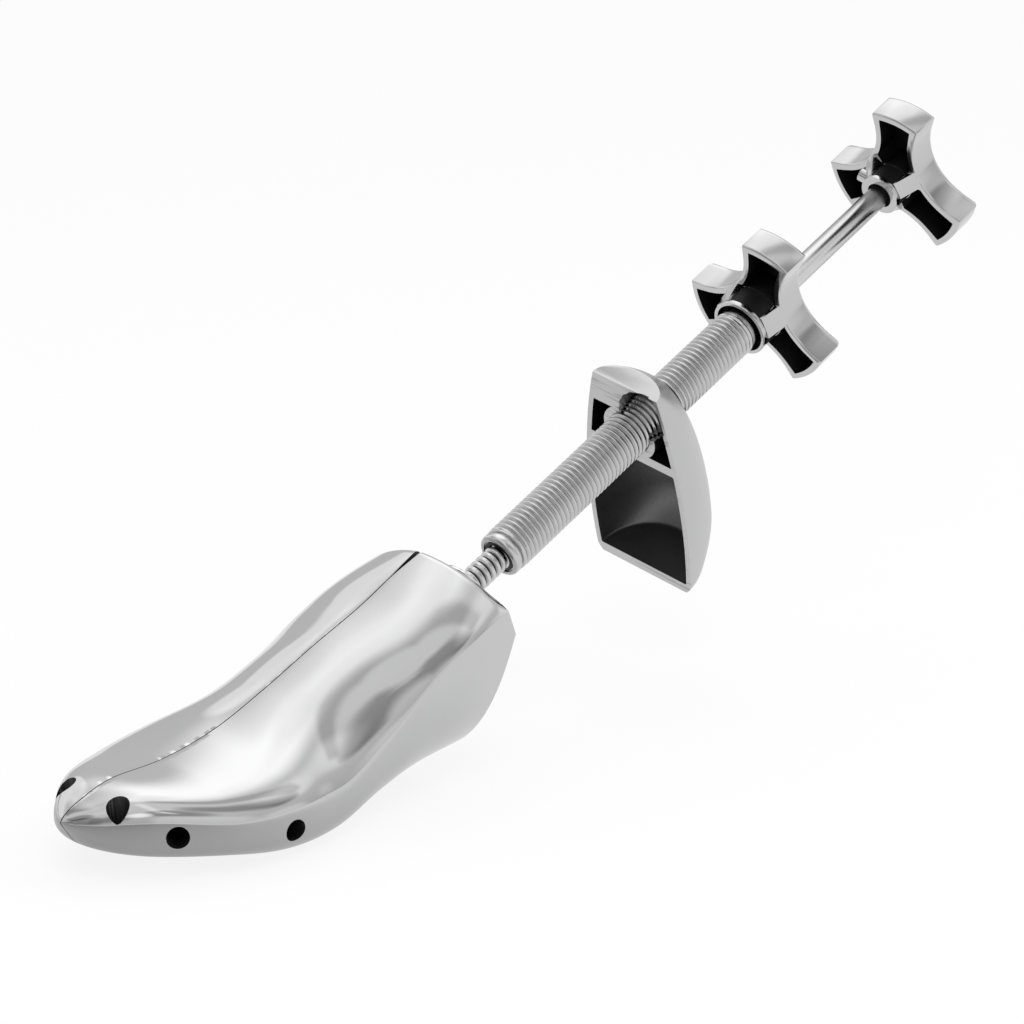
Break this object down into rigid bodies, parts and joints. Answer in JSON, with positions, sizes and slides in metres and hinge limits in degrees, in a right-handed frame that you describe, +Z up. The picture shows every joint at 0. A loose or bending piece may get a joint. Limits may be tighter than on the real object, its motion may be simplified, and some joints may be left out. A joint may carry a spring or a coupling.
{
  "type": "shoe stretcher",
  "caption": "Two-way shoe stretcher: a split last spread by a wedge on a thin screw spindle, and a heel block driven along a large threaded tube, with three-lobed knobs.",
  "frame": {"origin": "middle of the length and width, on the surface that the tread stands on", "axes": "toe towards -X, knobs towards +X, +Z up; the halves split at the plane y = 0"},
  "size_m": [0.397, 0.0778, 0.1854],
  "materials": {
    "polished_casting": "mirror polished",
    "satin_casting": "satin",
    "knob_casting": "polished",
    "thread_steel": "zinc plated thread",
    "rod_steel": "bright",
    "bright_steel": "bright",
    "black_rubber": "matt",
    "yoke_steel": "machined",
    "bush_brass": "machined",
    "pin_steel": "ground",
    "spring_steel": "drawn wire"
  },
  "bodies": {
    "carrier": {"hinge_yoke": "yoke_steel", "spindle_nut": "bush_brass", "nut_pin": "pin_steel", "hinge_pins": "pin_steel", "buffer_ring": "black_rubber", "thrust_washer": "bright_steel", "return_spring": "spring_steel"},
    "half_near": {"last_half_near": "polished_casting", "spring_peg_near": "pin_steel"},
    "half_far": {"last_half_far": "polished_casting", "spring_peg_far": "pin_steel"},
    "wedge": {"wedge_block": "yoke_steel"},
    "spindle": {"spindle_rod": "rod_steel", "tip_washer": "bright_steel", "tip_screw": "bright_steel", "rear_knob": "knob_casting", "rear_knob_pin": "pin_steel"},
    "tube_guide": {"tube_front_bush": "rod_steel"},
    "tube": {"length_tube": "thread_steel", "tube_rear_bush": "bush_brass", "front_knob": "knob_casting", "front_knob_pin": "pin_steel"},
    "heel": {"heel_block": "satin_casting"}
  },
  "joints": [
    {"name": "wedge_slide", "type": "slide", "parent": "carrier", "child": "wedge", "axis": [-0.8988, 0, -0.4384], "range_m": [0, 0.0125]},
    {"name": "spindle_turn", "type": "hinge", "parent": "wedge", "child": "spindle", "pos_m": [-0.05455, 0, 0.04247], "axis": [-0.8988, 0, -0.4384], "range_deg": [0, 1801]},
    {"name": "near_half_open", "type": "hinge", "parent": "carrier", "child": "half_near", "pos_m": [-0.05365, 0, 0.0429], "axis": [-0.4384, 0, 0.8988], "range_deg": [0, 4.02], "deforming": ["return_spring"]},
    {"name": "far_half_open", "type": "hinge", "parent": "carrier", "child": "half_far", "pos_m": [-0.05365, 0, 0.0429], "axis": [0.4384, 0, -0.8988], "range_deg": [0, 4.02], "deforming": ["return_spring"]},
    {"name": "tube_slide", "type": "slide", "parent": "carrier", "child": "tube_guide", "axis": [0.8988, 0, 0.4384], "range_m": [-0.0164, 0.038]},
    {"name": "tube_turn", "type": "hinge", "parent": "tube_guide", "child": "tube", "pos_m": [0.01735, 0, 0.07754], "axis": [0.8988, 0, 0.4384], "range_deg": [-6300, 11700]},
    {"name": "heel_slide", "type": "slide", "parent": "tube_guide", "child": "heel", "axis": [0.8988, 0, 0.4384], "range_m": [-0.0651, 0.0351]}
  ],
  "couplings": [
    {"joint": "spindle_turn", "follows": "wedge_slide", "rad_per_m": 2513.3},
    {"joint": "near_half_open", "follows": "wedge_slide", "rad_per_m": 5.585},
    {"joint": "far_half_open", "follows": "wedge_slide", "rad_per_m": 5.585},
    {"joint": "heel_slide", "follows": "tube_turn", "m_per_rad": -0.00031831}
  ]
}
